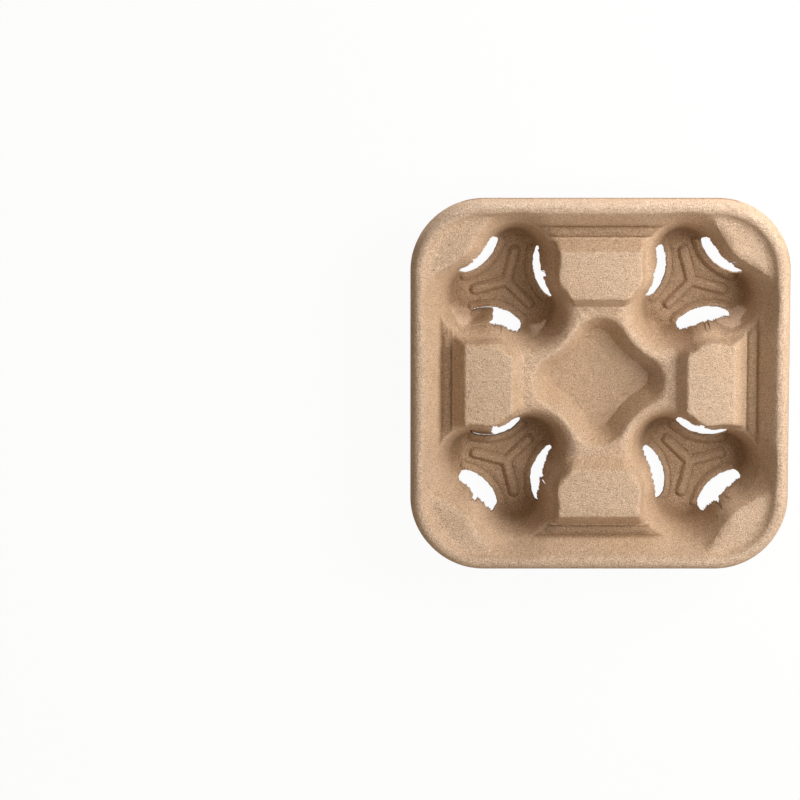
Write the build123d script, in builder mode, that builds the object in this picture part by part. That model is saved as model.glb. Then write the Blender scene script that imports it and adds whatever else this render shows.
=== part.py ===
from build123d import *
from math import atan2, cos, degrees, hypot, radians, sin, sqrt, tan
import os

# Four-cup carrier tray, moulded from paper pulp in one piece. Millimetres.
# +Z is up, the tray stands on its four feet at Z = 0, and Z is its axis of symmetry.

# Overall sizes
width = 216.0                # across the flats of the skirt's lower edge
height = 44.5                # feet to the top of the rim
wall = 1.6                   # thickness of the pulp sheet
corner_radius = 42.0         # of the outline, at the skirt's lower edge

# Rim: a rounded crown with a short skirt that hangs outside the pan
skirt_height = 9.0
skirt_flare = 1.5            # how far the skirt's lower edge stands out
rim_width = 5.6              # across the crown, from the skirt to the pan
crown_outer_round = 3.6
crown_inner_round = 3.0

# Pan: the shallow recess inside the rim
pan_depth = 14.2
pan_wall_run = 10.6          # how far the sloping pan wall runs in
pan_floor_round = 2.4

# Pads: raised blocks, one in the middle of each side
pad_drop = 5.0               # pad top below the rim
pad_start = 50.0             # tray's middle to the pad's top
pad_length = 27.0
pad_width = 49.6
pad_end_run = 6.2            # how far the sloping ends run out
pad_side_run = 2.7           # how far the sloping sides run out
pad_round = 2.4

# Corner shelves: crescents between the rim and each cup well
shelf_drop = 5.0             # shelf below the rim
shelf_start = 107.3          # tray's middle to the shelf, along the diagonal
shelf_curve = 48.6           # radius of the shelf's inner edge
shelf_slope = 45.0           # of the shelf's inner side, degrees from the vertical

# Cup wells: three lobes, and three gripping tabs between them
well_reach = 53.0            # well's middle from the tray's, along X and along Y
well_draft = 19.5            # of the walls, degrees from the vertical
lobe_reach = 31.0            # well's middle to a lobe's end, on the floor
tab_reach = 16.5             # well's middle to a tab's middle, on the floor
tab_bulge = 24.0             # radius of a tab's bulge
well_floor_round = 3.0

# Windows, under the tabs
window_start = 16.7          # well's middle to the window's near edge
window_reach = 23.4          # well's middle to the tab's lower edge
window_tip_reach = 22.0      # well's middle to the line between the tips
window_tip = 15.6            # half the span from tip to tip

# Ribs and lips, raised on the well floors
rib_width = 4.2
rib_height = 1.4
rib_reach = 20.5
lip_width = 3.4

# Pocket: a four-cornered hollow in the tray's middle
pocket_drop = 28.7           # pocket floor below the rim
pocket_draft = 33.0          # of the walls, degrees from the vertical
pocket_corner_reach = 28.6   # tray's middle to a corner, on the floor
pocket_side_reach = 20.5     # tray's middle to the middle of a side, on the floor
pocket_side_bulge = 60.0     # radius of a side's inward curve
pocket_floor_round = 4.0

# Repeats
sides = 4                    # of the tray, of the pocket, and the number of wells
lobes = 3                    # of each well, and its tabs, windows and rib arms
diagonal = 45.0              # from a side's middle to a corner, in degrees
clearance = 1.0              # how far a cutting solid runs past what it cuts

# Levels above the feet
pan_floor = height - pan_depth
pad_top = height - pad_drop
shelf_top = height - shelf_drop
skirt_edge = height - skirt_height
pocket_floor = height - pocket_drop

# Slopes: sideways run for each millimetre of height
skirt_slope = skirt_flare / skirt_height
pan_slope = pan_wall_run / pan_depth
pad_end_slope = pad_end_run / (pan_depth - pad_drop)
pad_side_slope = pad_side_run / (pan_depth - pad_drop)

# Half the width of the pan's mouth, and the radius of its corners
mouth = width / 2 - skirt_flare - rim_width
mouth_radius = corner_radius - skirt_flare - rim_width


def outset(depth, slope):
    """How far a sloping face moves sideways when the sheet's other face is drawn this deep."""
    return depth * hypot(1, slope)


def shift(depth, slope):
    """How far a corner between a level and a sloping face moves sideways, this deep."""
    return depth * (hypot(1, slope) - slope)


def draw_lobes(count, first, lobe_end, side_middle, side_radius):
    """Draw a closed line of smooth arcs: round lobes, the first at this angle, and sides that bulge in."""
    half_step = 180 / count
    side_centre = side_middle + side_radius
    along = side_centre * cos(radians(half_step))
    across = side_centre * sin(radians(half_step))
    lobe_radius = (lobe_end**2 + side_centre**2 - 2 * lobe_end * along - side_radius**2) / (
        2 * (lobe_end - along + side_radius)
    )
    lobe_centre = lobe_end - lobe_radius
    share = lobe_radius / (lobe_radius + side_radius)
    join = Vector(lobe_centre + share * (along - lobe_centre), share * across)
    for index in range(count):
        middle = first + 2 * half_step * index
        lobe_start = Vector(join.X, -join.Y).rotate(Axis.Z, middle)
        lobe_tip = Vector(lobe_end, 0).rotate(Axis.Z, middle)
        side_start = join.rotate(Axis.Z, middle)
        side_tip = Vector(side_middle, 0).rotate(Axis.Z, middle + half_step)
        side_end = Vector(join.X, -join.Y).rotate(Axis.Z, middle + 2 * half_step)
        ThreePointArc(lobe_start, lobe_tip, side_start)
        ThreePointArc(side_start, side_tip, side_end)


def lobed_hollow(count, first, lobe_end, side_middle, side_radius, draft, floor, floor_round, depth):
    """A hollow whose walls lean out from a lobed floor, drawn this deep below the sheet's face."""
    grow = shift(depth, tan(radians(draft)))
    with BuildPart() as hollow:
        with BuildSketch(Plane.XY.offset(floor - depth)):
            with BuildLine():
                draw_lobes(count, first, lobe_end + grow, side_middle + grow, side_radius - grow)
            make_face()
        extrude(amount=height + clearance - floor + depth, taper=-draft)
        fillet(hollow.edges().group_by(Axis.Z)[0], floor_round + depth)
    return hollow.part


def pad_block(depth):
    """One pad, in the middle of the +X side."""
    rectangle_edges = 4
    with BuildPart() as pad:
        for fall in (pan_depth - pad_drop + clearance, 0):
            along = pad_length + 2 * fall * pad_end_slope - 2 * shift(depth, pad_end_slope)
            across = pad_width + 2 * fall * pad_side_slope - 2 * shift(depth, pad_side_slope)
            with BuildSketch(Plane.XY.offset(pad_top - depth - fall)):
                with Locations((pad_start + pad_length / 2, 0)):
                    Rectangle(along, across)
        loft(ruled=True)
        fillet(pad.edges().sort_by(Axis.Z)[rectangle_edges:], pad_round - depth)
    return pad.part


def shelf_block(depth):
    """The corner shelf's round block, on the diagonal of the +X +Y corner."""
    slope = tan(radians(shelf_slope))
    rise = pan_depth - shelf_drop + clearance
    top_radius = shelf_curve - shift(depth, slope)
    centre = (shelf_start + shelf_curve) / sqrt(2)
    with BuildPart() as shelf:
        with Locations((centre, centre, shelf_top - depth - rise / 2)):
            Cone(top_radius + rise * slope, top_radius, rise)
    return shelf.part


def pan_hollow(depth):
    """The pan's hollow, with the pads and the corner shelves standing in it."""
    half = mouth - pan_wall_run + shift(depth, pan_slope)
    radius = mouth_radius - pan_wall_run + shift(depth, pan_slope)
    pad = pad_block(depth)
    shelf = shelf_block(depth)
    with BuildPart() as pan:
        with BuildSketch(Plane.XY.offset(pan_floor - depth)):
            RectangleRounded(2 * half, 2 * half, radius)
        extrude(amount=pan_depth + clearance, taper=-degrees(atan2(pan_wall_run, pan_depth)))
        fillet(pan.edges().group_by(Axis.Z)[0], pan_floor_round + depth)
        with PolarLocations(0, sides):
            add(pad, mode=Mode.SUBTRACT)
        with PolarLocations(0, sides):
            add(shelf, mode=Mode.SUBTRACT)
    return pan.part


def under_face(depth):
    """All that lies under the sheet's upper face, or under the parallel face this deep."""
    spread = clearance if depth > 0 else 0
    foot = width / 2 - outset(depth, skirt_slope)
    foot_radius = corner_radius - outset(depth, skirt_slope)
    pan = pan_hollow(depth)
    first_lobe = 180 / lobes
    reach, tab, bulge = lobe_reach, tab_reach, tab_bulge
    well = lobed_hollow(lobes, first_lobe, reach, tab, bulge, well_draft, wall, well_floor_round, depth)
    reach, side, bulge = pocket_corner_reach, pocket_side_reach, pocket_side_bulge
    floor, floor_round = pocket_floor, pocket_floor_round
    pocket = lobed_hollow(sides, 0, reach, side, bulge, pocket_draft, floor, floor_round, depth)
    with BuildPart() as body:
        # crown and skirt
        with BuildSketch(Plane.XY.offset(skirt_edge)):
            RectangleRounded(2 * foot, 2 * foot, foot_radius)
        extrude(amount=skirt_height - depth, taper=degrees(atan2(skirt_flare, skirt_height)))
        fillet(body.edges().group_by(Axis.Z)[-1], crown_outer_round - depth)
        # block under the skirt, down past the feet
        with BuildSketch(Plane.XY.offset(skirt_edge)):
            RectangleRounded(width + 2 * spread, width + 2 * spread, corner_radius + spread)
        extrude(amount=-skirt_edge - spread)
        # hollows
        add(pan, mode=Mode.SUBTRACT)
        fillet(body.faces().sort_by(Axis.Z)[-1].inner_wires()[0].edges(), crown_inner_round - depth)
        with PolarLocations(well_reach * sqrt(2), sides, start_angle=diagonal):
            add(well, mode=Mode.SUBTRACT)
        add(pocket, mode=Mode.SUBTRACT)
    return body.part


# One well's windows: crescents that open the foot of each tab
with BuildSketch() as crescents:
    for index in range(lobes):
        with BuildLine(Plane.XY.rotated((0, 0, 360 / lobes * index))):
            ThreePointArc((window_tip_reach, -window_tip), (window_start, 0), (window_tip_reach, window_tip))
            ThreePointArc((window_tip_reach, -window_tip), (window_reach, 0), (window_tip_reach, window_tip))
        make_face()

with BuildPart() as windows:
    with BuildSketch(Plane.XY.offset(-clearance)):
        add(crescents.sketch)
    extrude(amount=pan_floor)

# One well's raised work: a rib with three arms, and a lip round each window
with BuildPart() as ribs:
    with BuildSketch():
        with PolarLocations(0, lobes, start_angle=180 / lobes):
            SlotCenterPoint((rib_reach / 2, 0), (rib_reach - rib_width / 2, 0), rib_width)
        add(crescents.sketch)
        offset(crescents.sketch, amount=lip_width)
    extrude(amount=wall + rib_height)

upper = under_face(0)
lower = under_face(wall)

with BuildPart() as tray:
    add(upper)
    with PolarLocations(well_reach * sqrt(2), sides, start_angle=diagonal):
        add(ribs.part)
    add(lower, mode=Mode.SUBTRACT)
    with PolarLocations(well_reach * sqrt(2), sides, start_angle=diagonal):
        add(windows.part, mode=Mode.SUBTRACT)

tray.part.label = "tray"
os.makedirs("parts", exist_ok=True)
export_step(tray.part, "parts/tray.step")
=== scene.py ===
import math
import random
from collections import namedtuple

import bmesh
import bpy
import numpy as np
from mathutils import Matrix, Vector


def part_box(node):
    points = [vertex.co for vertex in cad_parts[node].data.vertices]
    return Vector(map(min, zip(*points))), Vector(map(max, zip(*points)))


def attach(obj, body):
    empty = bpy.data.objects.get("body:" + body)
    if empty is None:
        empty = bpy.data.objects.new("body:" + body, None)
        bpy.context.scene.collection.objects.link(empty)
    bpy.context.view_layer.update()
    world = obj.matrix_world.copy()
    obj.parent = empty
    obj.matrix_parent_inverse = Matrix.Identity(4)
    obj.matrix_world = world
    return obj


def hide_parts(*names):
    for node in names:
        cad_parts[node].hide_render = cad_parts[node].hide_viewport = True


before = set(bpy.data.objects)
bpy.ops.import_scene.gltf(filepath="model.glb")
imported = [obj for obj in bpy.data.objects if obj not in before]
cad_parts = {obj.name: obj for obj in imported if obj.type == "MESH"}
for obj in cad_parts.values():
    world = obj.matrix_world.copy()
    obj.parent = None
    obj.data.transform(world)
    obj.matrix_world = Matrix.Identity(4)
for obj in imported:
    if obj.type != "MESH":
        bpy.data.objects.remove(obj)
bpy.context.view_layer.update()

# Four-cup carrier tray of moulded paper pulp, dressed for a studio picture.
# The tray's sizes are in millimetres. They are the part's, apart from some rounds, the height and
# slope of the ribs, the creases and the grooves, which follow the pulp more closely. The camera,
# the lamps and the materials are in metres, as the scene itself is.
MM = 0.001

# Overall sizes
low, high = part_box("tray")
WIDTH = (high.x - low.x) / MM
HEIGHT = (high.z - low.z) / MM
WALL = 1.6
CORNER_RADIUS = 42.0
DIAGONAL = math.radians(45)

# Rim
SKIRT_HEIGHT = 9.0
SKIRT_FLARE = 1.5
RIM_WIDTH = 5.6
CROWN_OUTER_ROUND = 3.6
CROWN_INNER_ROUND = 3.0

# Pan
PAN_DEPTH = 14.2
PAN_WALL_RUN = 10.6
PAN_FLOOR_ROUND = 0.8
CREASE_WIDTH = 1.6             # two shallow creases behind each pad, at its foot and at the wall's
CREASE_DEPTH = 0.5
CREASE_OVERRUN = 5.0           # how far they run on past the pad's sides

# Pads
PAD_DROP = 5.0
PAD_START = 50.0
PAD_LENGTH = 27.0
PAD_WIDTH = 49.6
PAD_END_RUN = 6.2
PAD_SIDE_RUN = 2.7
PAD_ROUND = 2.4
PAD_FOOT_ROUND = 0.35

# Corner shelves
SHELF_DROP = 5.0
SHELF_START = 107.3
SHELF_CURVE = 48.6
SHELF_SLOPE = 1.0
SHELF_ROUND = 4.0
SHELF_FOOT_ROUND = 2.5

# Cup wells
LOBES = 3
WELL_REACH = 53.0
WELL_DRAFT = 19.5
LOBE_REACH = 31.0
TAB_REACH = 16.5
TAB_BULGE = 24.0
WELL_FLOOR_ROUND = 3.0
WELL_MOUTH_ROUND = 9.0
WELL_PAD_ROUND = 3.0           # the same round where a well cuts a pad
WELL_PAD_EASE = 6.0            # how far from a pad's face the mouth has its full round again

# Windows
WINDOW_START = 16.7
WINDOW_TIP_REACH = 22.0
WINDOW_TIP = 15.6

# Ribs and lips
RIB_WIDTH = 4.2
RIB_HEIGHT = 1.8
RIB_REACH = 20.5
RIB_ROUND = 0.6
RIB_SLOPE = 0.7
LIP_WIDTH = 3.4
LIP_OVERRUN = 1.0              # how far a lip runs on past its window's tips
GROOVE_WIDTH = 1.5             # a groove in the floor along each rib and lip
GROOVE_DEPTH = 0.5
GROOVE_INSET = 2.0             # kept between a groove and the foot of the well's wall

# Pocket
POCKET_SIDES = 4
POCKET_DROP = 28.7
POCKET_DRAFT = 33.0
POCKET_CORNER_REACH = 28.6
POCKET_SIDE_REACH = 20.5
POCKET_SIDE_BULGE = 60.0
POCKET_FLOOR_ROUND = 0.9
POCKET_MOUTH_ROUND = 4.5

# Levels
PAN_FLOOR = HEIGHT - PAN_DEPTH
PAD_TOP = HEIGHT - PAD_DROP
SHELF_TOP = HEIGHT - SHELF_DROP
SKIRT_EDGE = HEIGHT - SKIRT_HEIGHT
POCKET_FLOOR = HEIGHT - POCKET_DROP

# Slopes: sideways run for each millimetre of height
SKIRT_SLOPE = SKIRT_FLARE / SKIRT_HEIGHT
PAN_SLOPE = PAN_WALL_RUN / PAN_DEPTH
PAD_END_SLOPE = PAD_END_RUN / (PAN_DEPTH - PAD_DROP)
PAD_SIDE_SLOPE = PAD_SIDE_RUN / (PAN_DEPTH - PAD_DROP)
WELL_SLOPE = math.tan(math.radians(WELL_DRAFT))
POCKET_SLOPE = math.tan(math.radians(POCKET_DRAFT))

# Each window's side next to the well's floor: how far it bows, and the radius of its curve
WINDOW_RISE = WINDOW_TIP_REACH - WINDOW_START
WINDOW_CURVE = (WINDOW_TIP**2 + WINDOW_RISE**2) / (2 * WINDOW_RISE)

# Mesh of the sheet
CELLS = 400                    # across the tray, before the mesh is thinned
TRIANGLES = 186000             # kept in the finished sheet
CROWN_LINE = 5.0               # where the grid ends on the crown, in from the skirt's lower edge
CROWN_PIVOT = 4.0              # how deep below the crown the rim's rows fan out from
CROWN_ROWS = 8
SKIRT_ROWS = 6
SEARCH_MARGIN = 6.0            # how far above and below the tray its faces are looked for
SEARCH_STEPS = 24
RIM_SEARCH_REACH = 8.0
RIM_SEARCH_STEPS = 30
LEAST_HEIGHT = 0.01            # of the underside above the ground
TINY = 1e-9                    # keeps a division away from zero
SHARP_ANGLE = math.radians(50)


# Rounded joins between two signed distances, positive in the air
def fill(a, b, radius):
    """Union of two bodies, with a fillet of this radius in the hollow between them."""
    corner = np.hypot(np.maximum(radius - a, 0), np.maximum(radius - b, 0))
    return np.maximum(radius, np.minimum(a, b)) - corner


def trim(a, b, radius):
    """What two bodies share, with its edge rounded to this radius."""
    return -fill(-a, -b, radius)


def easing(radius, slope):
    """The join's size that gives a true radius between a level face and one that leans by this slope."""
    return radius * (1 - slope / math.hypot(1, slope))


def leaning(distance, height, slope):
    """Distance to a face that passes through distance = 0 at height = 0 and leans by this slope."""
    return (distance + height * slope) / math.hypot(1, slope)


def rounded_square(x, y, half, radius):
    """Signed distance to a rounded square, positive outside it."""
    across = np.abs(x) - (half - radius)
    along = np.abs(y) - (half - radius)
    outside = np.hypot(np.maximum(across, 0), np.maximum(along, 0))
    return outside + np.minimum(np.maximum(across, along), 0) - radius


def lobed(x, y, count, side_angle, lobe_end, side_middle, side_radius):
    """Signed distance to a lobed line, positive inside it. One of its sides faces side_angle."""
    half_step = math.pi / count
    side_centre = side_middle + side_radius
    along = side_centre * math.cos(half_step)
    lobe_radius = (lobe_end**2 + side_centre**2 - 2 * lobe_end * along - side_radius**2) / (
        2 * (lobe_end - along + side_radius)
    )
    reach = np.hypot(x, y)
    angle = np.arctan2(y, x) - side_angle
    angle = np.abs((angle + half_step) % (2 * half_step) - half_step)
    px, py = reach * np.cos(angle), reach * np.sin(angle)
    lobe_x = (lobe_end - lobe_radius) * math.cos(half_step)
    lobe_y = (lobe_end - lobe_radius) * math.sin(half_step)
    from_side = np.hypot(px - side_centre, py) - side_radius
    from_lobe = lobe_radius - np.hypot(px - lobe_x, py - lobe_y)
    turn = (lobe_x - side_centre) * py - lobe_y * (px - side_centre)
    return np.where(turn > 0, from_side, from_lobe)


def folded(x, y, count, angle):
    """Coordinates along and across the nearest of some equal directions, the first at this angle."""
    step = 2 * math.pi / count
    reach = np.hypot(x, y)
    turn = (np.arctan2(y, x) - angle + step / 2) % step - step / 2
    return reach * np.cos(turn), reach * np.sin(turn)


def crown_face(inset, z):
    """The rim's crown and skirt and the pan's wall, this far in from the skirt's lower edge."""
    skirt = leaning(-inset, z - SKIRT_EDGE, SKIRT_SLOPE)
    pan_wall = leaning(inset - SKIRT_FLARE - RIM_WIDTH, z - HEIGHT, PAN_SLOPE)
    pan = fill(z - PAN_FLOOR, pan_wall, easing(PAN_FLOOR_ROUND, PAN_SLOPE))
    crown = trim(z - HEIGHT, skirt, CROWN_OUTER_ROUND)
    return trim(crown, pan, easing(CROWN_INNER_ROUND, PAN_SLOPE))


def pad_face(along, across, z):
    """One raised pad, along its own line out from the middle of the tray."""
    top = z - PAD_TOP
    inner = leaning(PAD_START - along, top, PAD_END_SLOPE)
    outer = leaning(along - PAD_START - PAD_LENGTH, top, PAD_END_SLOPE)
    side = leaning(np.abs(across) - PAD_WIDTH / 2, top, PAD_SIDE_SLOPE)
    ends = trim(top, np.maximum(inner, outer), easing(PAD_ROUND, PAD_END_SLOPE))
    return trim(ends, side, easing(PAD_ROUND, PAD_SIDE_SLOPE))


def shelf_face(x, y, inset, z):
    """The crescent shelf of one corner."""
    centre = (SHELF_START + SHELF_CURVE) / math.sqrt(2)
    side = leaning(np.hypot(x - centre, y - centre) - SHELF_CURVE, z - SHELF_TOP, SHELF_SLOPE)
    top = trim(z - SHELF_TOP, side, easing(SHELF_ROUND, SHELF_SLOPE))
    return np.maximum(top, SKIRT_FLARE + RIM_WIDTH - inset)


def creased(face, x, y, z, inset, shelf):
    """The pan's floor with the creases behind the pads cut in."""
    wall_foot = SKIRT_FLARE + RIM_WIDTH + PAN_WALL_RUN + CREASE_WIDTH / 2
    pad_foot = WIDTH / 2 - PAD_START - PAD_LENGTH - PAD_END_RUN - CREASE_WIDTH / 2
    crease = CREASE_WIDTH / 2 - np.minimum(np.abs(inset - wall_foot), np.abs(inset - pad_foot))
    crease = np.minimum(crease, PAD_WIDTH / 2 + CREASE_OVERRUN - np.minimum(x, y))
    return np.maximum(face, np.minimum(z - PAN_FLOOR + CREASE_DEPTH, np.minimum(crease, shelf)))


def ribbed(face, well_x, well_y, z, floor_line):
    """A well's floor with its three-armed rib, its lips and the grooves beside them."""
    along, across = folded(well_x, well_y, LOBES, DIAGONAL + math.pi)
    arm = np.hypot(np.maximum(along - RIB_REACH + RIB_WIDTH / 2, 0), across) - RIB_WIDTH / 2
    along, across = folded(well_x, well_y, LOBES, DIAGONAL)
    lip = np.hypot(along - WINDOW_START - WINDOW_CURVE, across) - WINDOW_CURVE - LIP_WIDTH
    lip = np.maximum(lip, np.abs(across) - WINDOW_TIP - LIP_OVERRUN)
    for edge in (arm, lip):
        groove = GROOVE_WIDTH / 2 - np.abs(edge - GROOVE_WIDTH / 2)
        groove = np.minimum(groove, floor_line - GROOVE_INSET)
        face = np.maximum(face, np.minimum(z - WALL + GROOVE_DEPTH, groove))
    top = z - WALL - RIB_HEIGHT
    for edge in (arm, lip):
        side = leaning(edge + RIB_HEIGHT * RIB_SLOPE / 2, top, RIB_SLOPE)
        face = fill(face, trim(top, side, RIB_ROUND), RIB_ROUND)
    return face


def sheet_face(x, y, z, worked):
    """Signed distance to the sheet's upper face, positive in the air above it.

    The creases, the grooves, the ribs and the lips are left out unless the face is worked.
    """
    inset = -rounded_square(x, y, WIDTH / 2, CORNER_RADIUS)
    face = crown_face(inset, z)
    x, y = np.abs(x), np.abs(y)
    pad = pad_face(np.maximum(x, y), np.minimum(x, y), z)
    shelf = shelf_face(x, y, inset, z)
    if worked:
        face = creased(face, x, y, z, inset, shelf)
    face = fill(face, pad, PAD_FOOT_ROUND)
    face = fill(face, shelf, SHELF_FOOT_ROUND)

    well_x, well_y = x - WELL_REACH, y - WELL_REACH
    floor_line = lobed(well_x, well_y, LOBES, DIAGONAL, LOBE_REACH, TAB_REACH, TAB_BULGE)
    well_wall = leaning(floor_line, z - WALL, WELL_SLOPE)
    well = fill(z - WALL, well_wall, easing(WELL_FLOOR_ROUND, WELL_SLOPE))
    soft = np.maximum(pad / WELL_PAD_EASE, (PAD_TOP - z) / (PAN_DEPTH - PAD_DROP))
    mouth_round = WELL_PAD_ROUND + (WELL_MOUTH_ROUND - WELL_PAD_ROUND) * np.clip(soft, 0, 1)
    face = trim(face, well, easing(mouth_round, WELL_SLOPE))

    sizes = (POCKET_CORNER_REACH, POCKET_SIDE_REACH, POCKET_SIDE_BULGE)
    pocket_wall = leaning(lobed(x, y, POCKET_SIDES, DIAGONAL, *sizes), z - POCKET_FLOOR, POCKET_SLOPE)
    pocket = fill(z - POCKET_FLOOR, pocket_wall, easing(POCKET_FLOOR_ROUND, POCKET_SLOPE))
    face = trim(face, pocket, easing(POCKET_MOUTH_ROUND, POCKET_SLOPE))
    return ribbed(face, well_x, well_y, z, floor_line) if worked else face


def level(x, y, depth):
    """Height of the sheet's worked face at each place, or of the plain face this deep."""
    below = np.full_like(x, -SEARCH_MARGIN)
    above = np.full_like(x, HEIGHT + SEARCH_MARGIN)
    for _ in range(SEARCH_STEPS):
        middle = (below + above) / 2
        inside = sheet_face(x, y, middle, depth == 0) + depth < 0
        below = np.where(inside, middle, below)
        above = np.where(inside, above, middle)
    return (below + above) / 2


def plan_grid(half, radius):
    """A square grid of places whose border is a rounded square. Returns x and y, row by row."""
    steps = np.linspace(-1, 1, CELLS + 1)
    u, v = np.meshgrid(steps, steps, indexing="ij")
    ring = np.maximum(np.abs(u), np.abs(v))
    side = ring * half
    corner = np.maximum(radius - (half - side), 0)
    straight = side - corner
    run = np.minimum(np.abs(u), np.abs(v)) / np.maximum(ring, TINY) * (straight + corner * math.pi / 4)
    turn = np.clip((run - straight) / np.maximum(corner, TINY), 0, math.pi / 4)
    far = np.where(corner > 0, straight + corner * np.cos(turn), side)
    near = np.where(run < straight, run, straight + corner * np.sin(turn))
    x = np.where(np.abs(u) >= np.abs(v), far, near) * np.sign(u)
    y = np.where(np.abs(u) >= np.abs(v), near, far) * np.sign(v)
    return x, y


def rim_rows(depth):
    """The rim's section from its crown down to the skirt's edge: distances in, and heights."""
    pivot = HEIGHT - CROWN_PIVOT
    rows = []
    for angle in np.linspace(0, math.pi / 2, CROWN_ROWS + 1)[1:]:
        outward, upward = math.sin(angle), math.cos(angle)
        near, far = 0.0, RIM_SEARCH_REACH
        for _ in range(RIM_SEARCH_STEPS):
            reach = (near + far) / 2
            face = crown_face(np.array(CROWN_LINE - reach * outward), pivot + reach * upward)
            near, far = (reach, far) if face + depth < 0 else (near, reach)
        rows.append((CROWN_LINE - near * outward, pivot + near * upward))
    for z in np.linspace(pivot, SKIRT_EDGE, SKIRT_ROWS + 1)[1:]:
        rows.append(((z - SKIRT_EDGE) * SKIRT_SLOPE + depth * math.hypot(1, SKIRT_SLOPE), z))
    return rows


def border(count):
    """Grid places along the border, once round."""
    last = count - 1
    walk = [(i, 0) for i in range(last)] + [(last, j) for j in range(last)]
    walk += [(i, last) for i in range(last, 0, -1)] + [(0, j) for j in range(last, 0, -1)]
    return np.array([i * count + j for i, j in walk])


def sheet_mesh():
    """The whole sheet: upper face, rim and under face, as one closed mesh."""
    half, radius = WIDTH / 2 - CROWN_LINE, CORNER_RADIUS - CROWN_LINE
    x, y = plan_grid(half, radius)
    x, y = x.ravel(), y.ravel()
    count = CELLS + 1
    faces_up = np.column_stack((x, y, level(x, y, 0)))
    faces_down = np.column_stack((x, y, np.maximum(level(x, y, WALL), LEAST_HEIGHT)))

    edge = border(count)
    ring = np.column_stack((x[edge], y[edge]))
    straight = half - radius
    centre = np.clip(ring, -straight, straight)
    outward = (ring - centre) / np.linalg.norm(ring - centre, axis=1)[:, None]
    rows = [np.column_stack((ring + outward * (CROWN_LINE - inset), np.full(len(ring), z)))
            for inset, z in rim_rows(0) + rim_rows(WALL)[::-1]]
    points = np.concatenate([faces_up, faces_down] + rows)

    index = np.arange(count * count).reshape(count, count)
    cell = [index[:-1, :-1], index[1:, :-1], index[1:, 1:], index[:-1, 1:]]
    top = np.column_stack([c.ravel() for c in cell])
    bottom = top[:, ::-1] + count * count
    start = 2 * count * count
    loops = [edge] + [start + i * len(edge) + np.arange(len(edge)) for i in range(len(rows))]
    loops.append(edge + count * count)
    skin = [top, bottom]
    for a, b in zip(loops[:-1], loops[1:]):
        skin.append(np.column_stack((a, b, np.roll(b, -1), np.roll(a, -1))))
    mesh = bpy.data.meshes.new("tray_sheet")
    mesh.from_pydata((points * MM).tolist(), [], np.concatenate(skin).tolist())
    mesh.update()
    return mesh


def add_object(name, data):
    """An object in the scene that shows this mesh, lamp or camera."""
    piece = bpy.data.objects.new(name, data)
    bpy.context.scene.collection.objects.link(piece)
    return piece


# One window: how far out from the well's middle it starts and ends, where it begins and stops
# along its tab, its notches as place, width and depth, and its cracks as place, length and lean
Window = namedtuple("Window", "start end first last notches cracks")

# The windows, by the direction in which each looks, in degrees
WINDOWS = {
    45: Window(17.1, 25.4, -14.6, 15.0, ((-5.4, 3.6, 0.8),), ((-4.2, 3.4, -0.9), (-2.6, 2.6, -1.4))),
    165: Window(15.5, 22.7, -17.2, 14.6, ((-1.2, 3.0, 1.2), (-13.0, 7.0, 0.8)), ()),
    285: Window(15.8, 22.5, -14.4, 16.4, ((-11.0, 5.0, 0.5),), ((1.0, 3.0, 0.3), (3.6, 3.4, -0.1))),
    135: Window(16.3, 25.2, -15.0, 14.0, ((1.2, 2.2, 1.7),), ((3.0, 3.0, 0.8),)),
    255: Window(15.9, 23.1, -15.0, 14.8, ((9.5, 8.0, 0.6),), ((2.8, 2.6, 0.6),)),
    15: Window(16.3, 21.7, -14.8, 16.4, ((1.2, 3.4, 1.7),), ((1.4, 2.8, 1.2), (3.6, 2.4, -0.8))),
    225: Window(15.9, 23.8, -14.4, 14.4, ((-0.9, 2.8, 2.0),), ((-2.0, 3.2, -0.7), (-4.0, 4.0, 0.2))),
    345: Window(15.5, 21.5, -16.6, 16.6, ((-0.6, 3.0, 1.2),), ((-1.6, 2.8, -1.2),)),
    105: Window(16.7, 25.9, -15.0, 15.0, ((-0.6, 2.4, 1.7),), ((0.4, 2.0, 1.0),)),
    315: Window(16.3, 23.8, -14.8, 16.6, ((-1.8, 1.8, 1.2),),
                ((-3.4, 4.4, 1.0), (-1.4, 4.2, -1.0), (2.4, 5.0, 3.0))),
    75: Window(17.3, 26.3, -15.2, 15.0, ((1.0, 3.0, 1.8),), ((6.0, 1.6, 0.8),)),
    195: Window(15.3, 22.5, -16.6, 15.4, ((0.8, 3.2, 0.7), (-11.0, 5.0, 0.5)), ((7.0, 1.4, 0.3),)),
}

# Torn edges
TEAR_SEED = 7
TEAR_STEP = 0.38               # between the points of a torn edge
WAVE_STEPS = 6                 # points in each slow wave
WAVE_SHARE = 0.9
BITE_SHARE = 0.6
SPIKE_SHARE = 0.5
SPIKES = (0, 0, 0, 0, 1.4, -1.2)
FLOOR_ROUGHNESS = 0.26         # of a window's side next to the well's floor
TAB_ROUGHNESS = 0.5
TAB_BOW = 2.0                  # how much further out a tab is torn off at its ends
LEAST_GAP = 1.6                # between a window's sides, before they are torn
LEAST_TORN_GAP = 0.7
PINCH = 0.22                   # share of the gap by which each side closes in at the ends
PINCH_REACH = 1.5
NOTCH_LEAST = 0.8              # share of a notch's depth that is always torn out
NOTCH_SPREAD = 0.35

# The window cutters' levels, each with how far the floor side is held in there
CUT_LEVELS = ((-1.0, 0.5), (WALL + RIB_HEIGHT, 0.0), (PAN_FLOOR + 6.0, 0.0))
MOST_HELD_IN = 0.4             # share of the gap

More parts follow.
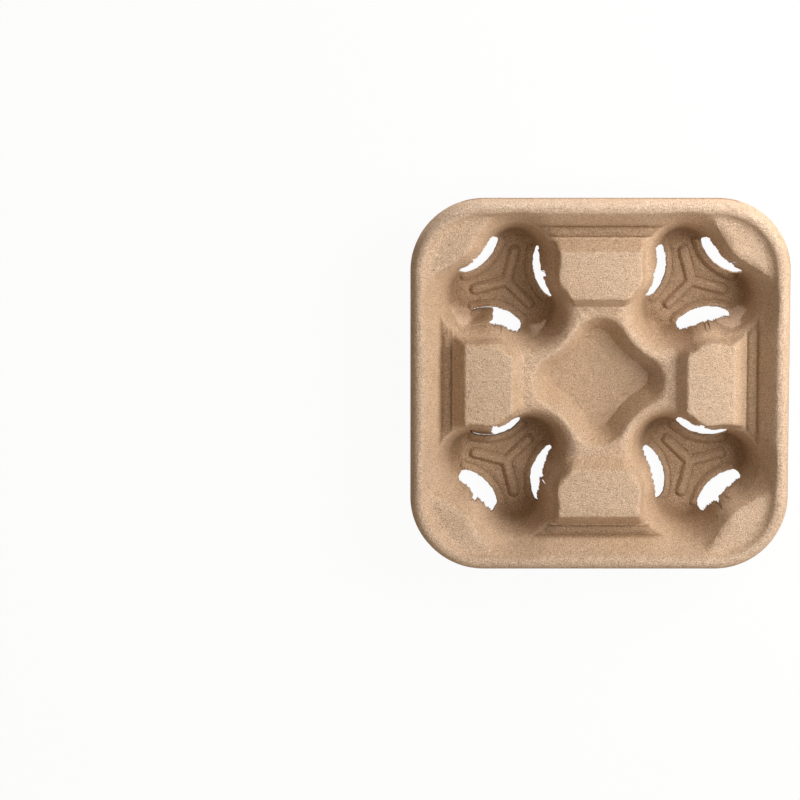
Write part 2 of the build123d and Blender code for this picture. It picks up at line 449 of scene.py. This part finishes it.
# The blade that cuts a crack: its stations as share of the crack's length, wander and half
# width, the corners of its section as side and depth, and how it slants
BLADE_STATIONS = ((-0.25, 0.0, 0.34), (0.45, 0.3, 0.32), (1.0, 0.0, 0.12))
BLADE_CORNERS = ((-1, 0.8), (1, 0.8), (1, -2.8), (-1, -2.8))
BLADE_RISE = 0.35
BLADE_SLANT = 0.8

# Two torn scraps behind windows: the window's direction, its well's middle, and where the scrap
# starts and ends along the tab
FLAPS = (
    (255, -WELL_REACH, WELL_REACH, -17.0, -2.8),
    (105, -WELL_REACH, -WELL_REACH, 17.0, 3.4),
)
FLAP_SEED = 3
FLAP_ROWS = 7
FLAP_COLUMNS = 16
FLAP_THICKNESS = 0.6
FLAP_RAGGEDNESS = 1.5          # of its torn end
FLAP_GAP = 0.6                 # from the window's floor side out to its foot
FLAP_RUN = 6.4                 # how far its top leans out from its foot
FLAP_CRUMPLE = 0.15
FLAP_FOOT = 0.2                # above the well's floor
FLAP_HEIGHT = 17.0


def tear_line(draw, count, rough):
    """Ragged offsets along an edge: slow waves, small bites, and a few loose spikes."""
    slow = [draw.uniform(-1, 1) for _ in range(count // WAVE_STEPS + 3)]
    line = []
    for i in range(count):
        place, share = divmod(i / WAVE_STEPS, 1)
        wave = slow[int(place)] * (1 - share) + slow[int(place) + 1] * share
        spike = draw.choice(SPIKES)
        line.append(rough * (WAVE_SHARE * wave + BITE_SHARE * draw.uniform(-1, 1) + SPIKE_SHARE * spike))
    return line


def floor_side(look, along):
    """How far out from the well's middle a window starts, at this place along its tab."""
    return WINDOWS[look].start + WINDOW_CURVE - math.sqrt(WINDOW_CURVE**2 - along**2)


def tab_side(look, along):
    """How far out from the well's middle a window's tab is torn off, at this place along it."""
    torn = WINDOWS[look].end + TAB_BOW * (along / WINDOW_TIP)**2
    return max(torn, floor_side(look, along) + LEAST_GAP)


def window_outline(look, draw):
    """One window's torn outline: its floor side, then its tab side backwards."""
    window = WINDOWS[look]
    count = int((window.last - window.first) / TEAR_STEP) + 1
    floor_bites = tear_line(draw, count, FLOOR_ROUGHNESS)
    tab_bites = tear_line(draw, count, TAB_ROUGHNESS)
    floor_edge, torn_edge = [], []
    for i in range(count):
        along = window.first + i * TEAR_STEP
        start, end = floor_side(look, along), tab_side(look, along)
        from_tip = min(along - window.first, window.last - along)
        pinch = PINCH * (end - start) * max(0, 1 - from_tip / PINCH_REACH)
        floor_edge.append((along, start + pinch + floor_bites[i]))
        reach = end - pinch + tab_bites[i]
        for place, width, depth in window.notches:
            if abs(along - place) < width / 2:
                reach += depth * (NOTCH_LEAST + NOTCH_SPREAD * draw.random())
        torn_edge.append((along, max(reach, start + pinch + LEAST_TORN_GAP)))
    return floor_edge, torn_edge[::-1]


def heading(look):
    """The x and y of a direction given in degrees."""
    return math.cos(math.radians(look)), math.sin(math.radians(look))


def each_window():
    """Each window's look direction with its well's middle."""
    middle = WELL_REACH * math.sqrt(2)
    for well in (45, 135, 225, 315):
        c, s = heading(well)
        for turn in (0, 120, 240):
            yield (well + turn) % 360, middle * c, middle * s


def placed(look, well_x, well_y, along, out):
    """Plan position of a place given along a tab and out from its well's middle."""
    c, s = heading(look)
    return well_x + c * out - s * along, well_y + s * out + c * along


def closed_mesh(name, points, faces):
    """A mesh from millimetres, with all its faces turned outward."""
    mesh = bpy.data.meshes.new(name)
    mesh.from_pydata([(x * MM, y * MM, z * MM) for x, y, z in points], [], faces)
    shape = bmesh.new()
    shape.from_mesh(mesh)
    bmesh.ops.recalc_face_normals(shape, faces=shape.faces)
    shape.to_mesh(mesh)
    shape.free()
    return mesh


def stacked(points, faces, rings):
    """Add a closed prism whose rings of points lie one above the other."""
    start, count = len(points), len(rings[0])
    for ring in rings:
        points += ring
    faces.append([start + i for i in range(count)])
    faces.append([start + (len(rings) - 1) * count + i for i in range(count)])
    for floor in range(len(rings) - 1):
        base = start + floor * count
        for i in range(count):
            j = (i + 1) % count
            faces.append([base + i, base + j, base + count + j, base + count + i])


def window_cutters():
    """Prisms with torn outlines, one through each window, narrower under the well's floor."""
    draw = random.Random(TEAR_SEED)
    points, faces = [], []
    for look, well_x, well_y in each_window():
        floor_edge, torn_edge = window_outline(look, draw)
        rings = []
        for z, held_in in CUT_LEVELS:
            ring = []
            for along, out in floor_edge:
                gap = tab_side(look, along) - out
                out += min(held_in, gap * MOST_HELD_IN)
                ring.append(placed(look, well_x, well_y, along, out))
            ring += [placed(look, well_x, well_y, along, out) for along, out in torn_edge]
            rings.append([(x, y, z) for x, y in ring])
        stacked(points, faces, rings)
    return closed_mesh("window_cutters", points, faces)


def crack_cutters():
    """Thin slanting blades that split the tabs' torn edges."""
    points, faces = [], []
    for look, well_x, well_y in each_window():
        c, s = heading(look)
        tangent = Vector((-s, c, 0))
        inward = Vector((-c, -s, BLADE_RISE))
        through = (inward + BLADE_SLANT * tangent).normalized()
        for place, length, lean in WINDOWS[look].cracks:
            edge = tab_side(look, place)
            rings = []
            for share, wander, half in BLADE_STATIONS:
                along, out = place + lean * share + wander, edge + length * share
                x, y = placed(look, well_x, well_y, along, out)
                spot = Vector((x, y, float(level(np.array([x]), np.array([y]), 0)[0])))
                rings.append([tuple(spot + side * half * tangent + depth * through)
                              for side, depth in BLADE_CORNERS])
            stacked(points, faces, rings)
    return closed_mesh("crack_cutters", points, faces)


def torn_flap(look, well_x, well_y, start, end):
    """A torn scrap that stands behind part of a window, close to its tab's wall."""
    draw = random.Random(FLAP_SEED)
    rows, columns = FLAP_ROWS, FLAP_COLUMNS
    points, faces = [], []
    ends = [end + draw.uniform(-FLAP_RAGGEDNESS, FLAP_RAGGEDNESS) for _ in range(rows)]
    for drop in (0, FLAP_THICKNESS):
        for i in range(rows):
            share = i / (rows - 1)
            for j in range(columns):
                along = start + (ends[i] - start) * j / (columns - 1)
                foot = floor_side(look, min(abs(along), WINDOW_TIP)) + FLAP_GAP
                out = foot + FLAP_RUN * share + draw.uniform(0, FLAP_CRUMPLE)
                x, y = placed(look, well_x, well_y, along, out + drop)
                points.append((x, y, WALL + FLAP_FOOT + FLAP_HEIGHT * share))
    layer = rows * columns
    for i in range(rows - 1):
        for j in range(columns - 1):
            a, b = i * columns + j, i * columns + j + 1
            faces.append((a, b, b + columns, a + columns))
            faces.append((layer + a, layer + a + columns, layer + b + columns, layer + b))
    edge = list(range(columns)) + [(i + 1) * columns - 1 for i in range(1, rows)]
    edge += [layer - 2 - j for j in range(columns - 1)] + [i * columns for i in range(rows - 2, 0, -1)]
    for a, b in zip(edge, edge[1:] + edge[:1]):
        faces.append((a, a + layer, b + layer, b))
    return closed_mesh("torn_flap", points, faces)


def apply_modifiers(piece):
    """Keep what the modifiers make of the mesh, and drop the modifiers."""
    graph = bpy.context.evaluated_depsgraph_get()
    mesh = bpy.data.meshes.new_from_object(piece.evaluated_get(graph), depsgraph=graph)
    piece.modifiers.clear()
    piece.data = mesh


sheet = add_object("pulp_tray", sheet_mesh())
for cutting_mesh in (window_cutters(), crack_cutters()):
    cutter = add_object(cutting_mesh.name, cutting_mesh)
    opening = sheet.modifiers.new("opening", "BOOLEAN")
    opening.operation = "DIFFERENCE"
    opening.solver = "MANIFOLD"
    opening.object = cutter
    apply_modifiers(sheet)
    bpy.data.objects.remove(cutter)
thin = sheet.modifiers.new("thin", "DECIMATE")
sheet.data.calc_loop_triangles()
thin.ratio = TRIANGLES / len(sheet.data.loop_triangles)
apply_modifiers(sheet)
pieces = bmesh.new()
pieces.from_mesh(sheet.data)
for flap in FLAPS:
    pieces.from_mesh(torn_flap(*flap))
pieces.to_mesh(sheet.data)
pieces.free()
sheet.data.validate()
sheet.data.polygons.foreach_set("use_smooth", [True] * len(sheet.data.polygons))
sheet.data.set_sharp_from_angle(angle=SHARP_ANGLE)

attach(sheet, "root")
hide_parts("tray")

# Camera: a long lens, looking down on the tray from a little behind it
FOCAL = 284.6
DISTANCE = 3.6
TILT = math.radians(12.5)
TARGET = Vector((-0.11392, -0.00735, HEIGHT * MM))
lens = bpy.data.cameras.new("camera")
lens.lens = FOCAL
lens.sensor_width = 36.0
lens.clip_start = 0.1
camera = add_object("camera", lens)
camera.location = TARGET + DISTANCE * Vector((0, math.sin(TILT), math.cos(TILT)))
camera.rotation_euler = (-TILT, 0, 0)
bpy.context.scene.camera = camera
bpy.context.scene.view_settings.view_transform = "Standard"


class Field:
    """A shader socket that takes part in Python sums."""

    def __init__(self, tree, socket):
        self.tree = tree
        self.socket = socket

    def math(self, operation, *values, **settings):
        return self.tree.node("ShaderNodeMath", dict(operation=operation, **settings), list(values))

    def __add__(self, other):
        return self.math("ADD", self, other)

    def __radd__(self, other):
        return self.math("ADD", other, self)

    def __sub__(self, other):
        return self.math("SUBTRACT", self, other)

    def __rsub__(self, other):
        return self.math("SUBTRACT", other, self)

    def __mul__(self, other):
        return self.math("MULTIPLY", self, other)

    def __rmul__(self, other):
        return self.math("MULTIPLY", other, self)

    def __pow__(self, other):
        return self.math("POWER", self, other)

    def __abs__(self):
        return self.math("ABSOLUTE", self)

    def clamped(self):
        """The same value, held between 0 and 1."""
        return self.math("ADD", self, 0.0, use_clamp=True)

    def rising(self, start, end):
        """0 up to start, 1 from end on, and smooth between them."""
        values = {"Value": self, "From Min": start, "From Max": end}
        return self.tree.node("ShaderNodeMapRange", {"interpolation_type": "SMOOTHSTEP"}, values)

    def falling(self, start, end):
        """1 up to start, 0 from end on, and smooth between them."""
        return 1 - self.rising(start, end)


class Finish:
    """One material and the nodes that make it."""

    def __init__(self, name):
        self.material = bpy.data.materials.new(name)
        self.material.use_nodes = True
        self.nodes = self.material.node_tree.nodes
        self.links = self.material.node_tree.links
        self.shader = self.nodes["Principled BSDF"]
        self.end = self.nodes["Material Output"]

    def node(self, kind, settings, values, output=0):
        """Add a node: its settings first, then the values or links of its sockets."""
        made = self.nodes.new(kind)
        for name, value in settings.items():
            setattr(made, name, value)
        for key, value in values.items() if isinstance(values, dict) else enumerate(values):
            self.join(value, made.inputs[key])
        return Field(self, made.outputs[output])

    def join(self, value, socket):
        """Link a field to a socket, or set the socket's value."""
        if isinstance(value, Field):
            self.links.new(value.socket, socket)
        else:
            socket.default_value = value

    def axis(self, vector, index):
        """One coordinate of a vector: 0, 1 or 2 for x, y or z."""
        return self.node("ShaderNodeSeparateXYZ", {}, [vector], output=index)

    def noise(self, place, scale, detail, roughness=0.5, distortion=0.0):
        """Cloudy noise, with this many waves to the metre."""
        values = {"Vector": place, "Scale": scale, "Detail": detail, "Roughness": roughness,
                  "Distortion": distortion}
        return self.node("ShaderNodeTexNoise", {}, values)

    def mixed(self, share, first, second, blend="MIX"):
        """Blend two colours. The node's colour sockets are known by number only."""
        settings = {"data_type": "RGBA", "blend_type": blend}
        return self.node("ShaderNodeMix", settings, {0: share, 6: first, 7: second}, output=2)


# The pulp's colours: its own, and some that paint shade or a highlight
PALE = (0.695, 0.495, 0.340, 1)
# Deeper golden brown: random tone from the cloud noise, and painted shade on steep faces
GOLDEN = (0.590, 0.392, 0.244, 1)
# Painted shade: a darker brown for the lower, deeper parts of the tray
DEEP_SHADE = (0.450, 0.285, 0.165, 1)
# Painted highlight: a paler, greyer colour for the top of the crown
CROWN_HIGHLIGHT = (0.640, 0.465, 0.330, 1)
# Painted shade: the dark brown laid where shade falls, by the masks in shadows()
DARK = (0.265, 0.148, 0.070, 1)
FLECK = (0.14, 0.075, 0.035, 1)

# Ranges over which its colour changes, in metres. Heights are above the ground, and distances
# are out from the tray's middle where nothing else is said.
# Steepness over which faces take the painted shade of the golden colour
STEEP = (0.55, 0.98)           # upright part of the face's direction, from steep to level
# Heights over which the low parts take the painted shade
DEEP_SHADE_HEIGHT = (0.000, 0.036)
# Heights at which the crown's top takes the painted highlight
CROWN_HIGHLIGHT_HEIGHT = (0.040, 0.0445)
# Painted shade in the channel between each pad and the pan wall, darkest at both feet
PAN_BOTTOM = (0.027, 0.029)    # the pan's floor lies between these two heights
PAN_TOP = (0.0308, 0.0345)
CHANNEL_START = (0.0834, 0.0846)    # the channel between a pad and the pan wall
CHANNEL_END = (0.0895, 0.0930)
CHANNEL_SIDE = (0.034, 0.044)
CHANNEL_FEET = (0.0842, 0.0904)     # where the pad and the pan wall meet it
FOOT_SPREAD = (0.0002, 0.0016)      # from each foot
# Height below which the grooves and other low places take painted shade
GROOVE_HEIGHT = (0.00115, 0.00158)
# Where the feet of the wells' lobes take painted shade
LOBE_FOOT_REACH = (0.022, 0.031)    # from the well's middle
LOBE_FOOT_HEIGHT = (0.003, 0.016)
# Where the torn scraps on the left take painted shade
SCRAP_PLACE = (0.0678, 0.0363)
SCRAP_SPREAD = (0.003, 0.008)       # from the scrap's place
SCRAP_HEIGHT = (0.013, 0.020)
LEFT_SIDE = (0.0, 0.01)
# Where the skirt's lower part takes painted shade, a dark line round the outside
SKIRT_SHADE_START = (0.1055, 0.1065)
SKIRT_SHADE_HEIGHT = (0.0362, 0.0385)
STRAND_LEVEL = (0.60, 0.74)    # noise that shows as a fibre
FLECK_LEVEL = (0.69, 0.75)     # noise that shows as a fleck
EVEN = 0.5                     # the average of a noise


def apart(sides, place):
    """Distance in plan from a place, with both coordinates taken as positive."""
    return (abs(sides[0] - place[0])**2 + abs(sides[1] - place[1])**2)**0.5


def laid_fibres(pulp, place):
    """Long thin fibres that lie in three directions."""
    strands = None
    for turn, shift in ((25.0, 0.3), (95.0, 1.7), (155.0, 2.9)):
        values = {"Vector": place, "Location": (shift, shift, shift),
                  "Rotation": (0.0, 0.0, math.radians(turn)), "Scale": (260.0, 1500.0, 900.0)}
        laid = pulp.node("ShaderNodeMapping", {"vector_type": "POINT"}, values)
        strand = pulp.noise(laid, scale=1.0, detail=1.0, distortion=0.6).rising(*STRAND_LEVEL)
        strands = strand if strands is None else strands.math("MAXIMUM", strands, strand)
    return strands


def shadows(pulp, place, height):
    """Shares of the dark colour, all painted shade: in the channels behind the pads, in the grooves, at
    the lobes' feet, on a scrap and along the skirt's lower edge.
    """
    sides = [abs(pulp.axis(place, index)) for index in (0, 1)]
    far = sides[0].math("MAXIMUM", sides[0], sides[1])
    near = sides[0].math("MINIMUM", sides[0], sides[1])
    on_pan = height.rising(*PAN_BOTTOM) * height.falling(*PAN_TOP)
    channel = far.rising(*CHANNEL_START) * far.falling(*CHANNEL_END) * near.falling(*CHANNEL_SIDE)
    pad_foot, wall_foot = [abs(far - foot).falling(*FOOT_SPREAD) for foot in CHANNEL_FEET]
    lobe = apart(sides, (WELL_REACH * MM, WELL_REACH * MM)).rising(*LOBE_FOOT_REACH)
    left = (0 - pulp.axis(place, 0)).rising(*LEFT_SIDE)
    scrap = apart(sides, SCRAP_PLACE).falling(*SCRAP_SPREAD) * height.falling(*SCRAP_HEIGHT) * left
    return (
        # painted shade in the channels behind the pads, darker along the feet
        (channel * on_pan * (0.62 + 0.3 * (pad_foot + wall_foot))).clamped(),
        # painted shade in the grooves beside the ribs and lips, and on anything as low
        height.falling(*GROOVE_HEIGHT) * 0.55,
        # painted shade at the feet of the wells' lobes
        lobe * height.falling(*LOBE_FOOT_HEIGHT) * 0.5,
        # painted shade on the torn scraps behind two windows on the left
        scrap * 0.6,
        # painted shade along the skirt's lower edge
        far.rising(*SKIRT_SHADE_START) * height.falling(*SKIRT_SHADE_HEIGHT) * 0.7,
    )


def moulded_pulp():
    """Unbleached paper pulp: mottled, with dark flecks, pale fibres and a felted grain, and with painted
    shade and a painted highlight in its colour.
    """
    pulp = Finish("moulded_pulp")
    place = pulp.node("ShaderNodeTexCoord", {}, {}, output="Object")
    height = pulp.axis(place, 2)
    cloud = pulp.noise(place, scale=30.0, detail=2.0)
    blotch = pulp.noise(place, scale=260.0, detail=3.0, roughness=0.6)
    grain = pulp.noise(place, scale=1700.0, detail=1.0, roughness=0.7)
    speck = pulp.noise(place, scale=950.0, detail=1.0)
    strands = laid_fibres(pulp, place)

    normal = pulp.node("ShaderNodeNewGeometry", {}, {}, output="Normal")
    steep = abs(pulp.axis(normal, 2)).falling(*STEEP)
    # Pale to golden: partly random tone from the cloud noise, partly painted shade that makes steep
    # faces darker
    colour = pulp.mixed(((cloud - EVEN) * 1.6 + 0.2 + steep * 0.6).clamped(), PALE, GOLDEN)
    # Painted shade: the lower a place lies, the more of the darker brown it takes
    colour = pulp.mixed(height.falling(*DEEP_SHADE_HEIGHT) * 0.8, colour, DEEP_SHADE)
    # Painted highlight: the crown's top paler, as where strong light falls on it
    colour = pulp.mixed(height.rising(*CROWN_HIGHLIGHT_HEIGHT) * 0.4, colour, CROWN_HIGHLIGHT)
    # Painted shade in the channels, grooves and lobes, on a scrap and along the skirt's edge
    for share in shadows(pulp, place, height):
        colour = pulp.mixed(share, colour, DARK)

    mottle = 0.20 * (cloud - EVEN) + 0.22 * (blotch - EVEN) + 1.7 * (grain - EVEN)
    tone = 0.94 + mottle + 0.16 * strands
    tint = pulp.node("ShaderNodeCombineColor", {}, [tone, tone**1.12, tone**1.28])
    colour = pulp.mixed(1.0, colour, tint, "MULTIPLY")
    colour = pulp.mixed(speck.rising(*FLECK_LEVEL) * 0.65, colour, FLECK)

    pulp.join(colour, pulp.shader.inputs["Base Color"])
    pulp.shader.inputs["Roughness"].default_value = 0.92
    pulp.shader.inputs["Specular IOR Level"].default_value = 0.25
    felt = grain * 0.7 + blotch * 0.8 + strands * 0.25
    bump = pulp.node("ShaderNodeBump", {}, {"Strength": 1.0, "Distance": 0.0011, "Height": felt})
    pulp.join(bump, pulp.shader.inputs["Normal"])
    return pulp.material


sheet.data.materials.clear()
sheet.data.materials.append(moulded_pulp())


def area_lamp(name, place, size, watts, tint):
    """A soft square lamp that looks at the tray."""
    lamp = bpy.data.lights.new(name, "AREA")
    lamp.energy = watts
    lamp.size = size
    lamp.color = tint
    piece = add_object(name, lamp)
    piece.location = place
    piece.visible_camera = False
    piece.rotation_euler = Vector(place).to_track_quat("Z", "Y").to_euler()


WARM = (1.0, 0.95, 0.88)
area_lamp("key", (0.463, 0.226, 0.417), 0.47, 6.35, (0.98, 1.0, 1.03))
area_lamp("back_fill", (0.0, 0.500, 0.630), 0.40, 0.4, WARM)
area_lamp("front_fill", (0.0, -0.66, 0.40), 0.40, 0.8, WARM)
area_lamp("side_fill", (0.49, -0.49, 0.40), 0.40, 0.6, WARM)
area_lamp("far_fill", (-0.32, 0.0, 0.72), 0.40, 0.8, (1.0, 0.92, 0.82))
area_lamp("rim_strip", (0.02, 0.50, 0.02), 0.03, 1.3, (0.88, 1.0, 1.2))


def studio_world():
    """Weak warm light from all round, and a white background where the camera sees past the floor."""
    world = bpy.data.worlds.new("studio")
    world.use_nodes = True
    nodes, links = world.node_tree.nodes, world.node_tree.links
    fill_light = nodes["Background"]
    fill_light.inputs["Strength"].default_value = 0.12
    fill_light.inputs["Color"].default_value = (1, 0.89, 0.76, 1)
    backdrop = nodes.new("ShaderNodeBackground")
    backdrop.inputs["Strength"].default_value = 1.0
    backdrop.inputs["Color"].default_value = (1, 1, 1, 1)
    path = nodes.new("ShaderNodeLightPath")
    mix = nodes.new("ShaderNodeMixShader")
    seen = [nodes.new("ShaderNodeMath") for _ in range(2)]
    links.new(path.outputs["Is Camera Ray"], seen[0].inputs[0])
    links.new(path.outputs["Is Glossy Ray"], seen[0].inputs[1])
    links.new(seen[0].outputs[0], seen[1].inputs[0])
    links.new(path.outputs["Is Transmission Ray"], seen[1].inputs[1])
    seen[1].use_clamp = True
    links.new(seen[1].outputs[0], mix.inputs[0])
    links.new(fill_light.outputs[0], mix.inputs[1])
    links.new(backdrop.outputs[0], mix.inputs[2])
    links.new(mix.outputs[0], nodes["World Output"].inputs[0])
    bpy.context.scene.world = world


studio_world()

FLOOR_HALF = 4                 # of the floor's side
GLOW_SHARE = 0.95              # of the floor's own shine for the camera; the rest takes shadow


def white_floor():
    """A white floor that shines for the camera and keeps part of the shadow."""
    finish = Finish("white_floor")
    finish.shader.inputs["Base Color"].default_value = (0.82, 0.76, 0.68, 1)
    finish.shader.inputs["Roughness"].default_value = 0.9
    kinds = ("Is Camera Ray", "Is Glossy Ray", "Is Transmission Ray")
    seen, mirrored, through = [finish.node("ShaderNodeLightPath", {}, {}, output=kind) for kind in kinds]
    glow = finish.node("ShaderNodeEmission", {}, {"Color": (1, 1, 1, 1), "Strength": 1.0})
    lit = Field(finish, finish.shader.outputs[0])
    share = (seen + mirrored + through).clamped() * GLOW_SHARE
    mix = finish.node("ShaderNodeMixShader", {}, [share, lit, glow])
    finish.join(mix, finish.end.inputs["Surface"])
    return finish.material


floor_mesh = bpy.data.meshes.new("floor")
corners = [(x * FLOOR_HALF, y * FLOOR_HALF, 0) for x, y in ((-1, -1), (1, -1), (1, 1), (-1, 1))]
floor_mesh.from_pydata(corners, [], [(0, 1, 2, 3)])
floor_mesh.materials.append(white_floor())
floor = add_object("floor", floor_mesh)
